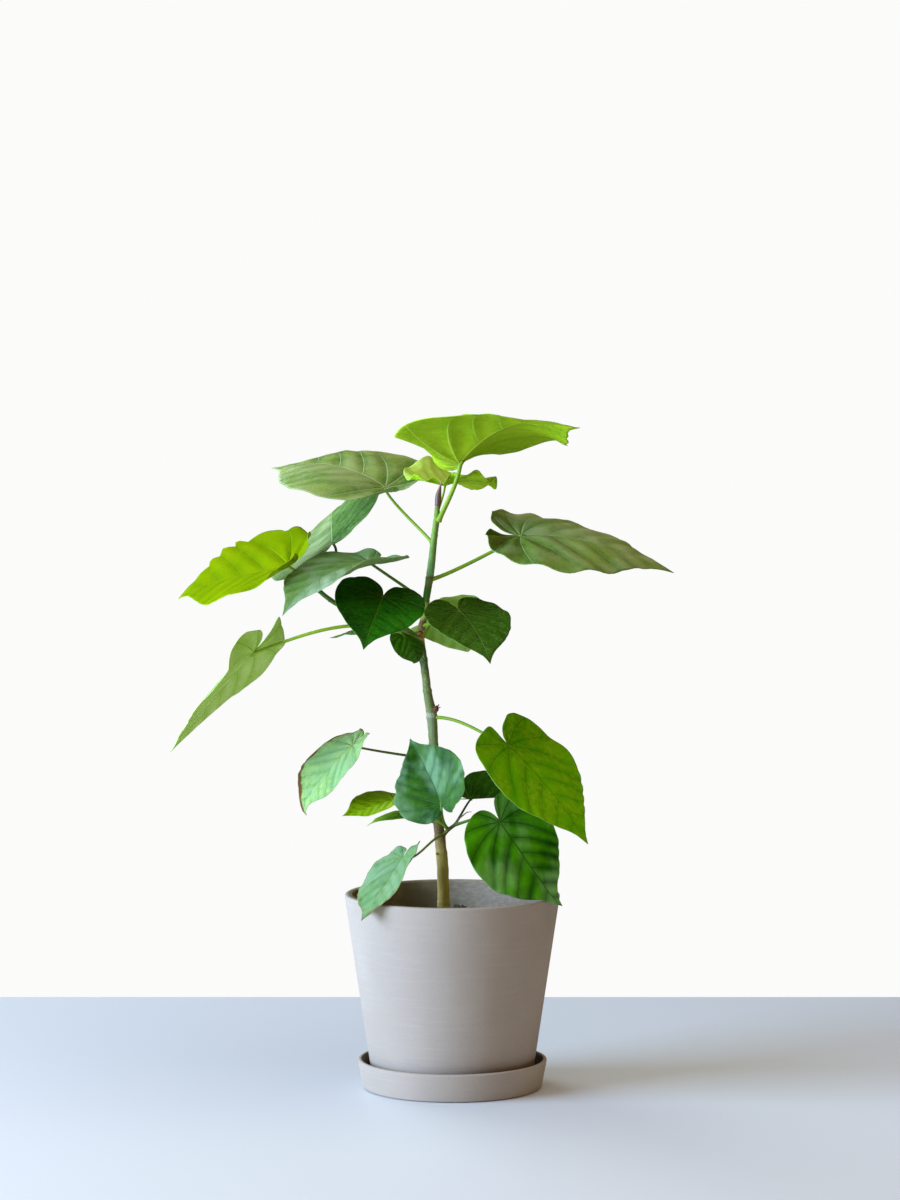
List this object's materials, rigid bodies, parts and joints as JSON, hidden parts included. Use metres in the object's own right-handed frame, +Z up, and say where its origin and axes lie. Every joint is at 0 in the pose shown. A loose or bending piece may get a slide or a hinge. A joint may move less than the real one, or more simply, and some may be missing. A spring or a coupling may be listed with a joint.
{
  "type": "potted ficus umbellata",
  "caption": "Young potted ficus umbellata: a slim leaning stem with a forked top and big heart-shaped leaves, in a tapered clay pot on its saucer.",
  "frame": {"origin": "centre of the saucer's flat underside, on the pot's axis", "axes": "+Z up along the pot's axis, +X to the right and -Y towards the viewer in the pictured view"},
  "size_m": [0.4896, 0.3356, 0.6528],
  "materials": {
    "clay": "matt unglazed grey clay",
    "soil": "rough dark potting mix",
    "bark": "matt tan to grey-green bark",
    "green_bark": "smooth green young bark",
    "bud": "satin brown bud scale",
    "leaf": "satin green leaf"
  },
  "bodies": {
    "root": {"saucer": "clay", "pot": "clay", "soil": "soil", "trunk": "bark", "leader_shoot": "green_bark", "leader_bud": "bud", "left_bough": "green_bark", "side_shoot": "green_bark", "leaf_crown": "leaf", "leaf_young": "leaf", "leaf_upper_left": "leaf", "leaf_upper_right": "leaf", "leaf_left_front": "leaf", "leaf_right_centre": "leaf", "leaf_left_back": "leaf", "leaf_left_lime": "leaf", "leaf_hanging_left": "leaf", "leaf_centre_dark": "leaf", "leaf_centre_small": "leaf", "leaf_right_behind": "leaf", "leaf_left_edge": "leaf", "leaf_mid_right": "leaf", "leaf_lower_left": "leaf", "leaf_low_left_under": "leaf", "leaf_low_left_small": "leaf", "leaf_pot_side": "leaf", "leaf_lower_front": "leaf", "leaf_low_behind": "leaf", "leaf_lower_right": "leaf"}
  },
  "joints": []
}
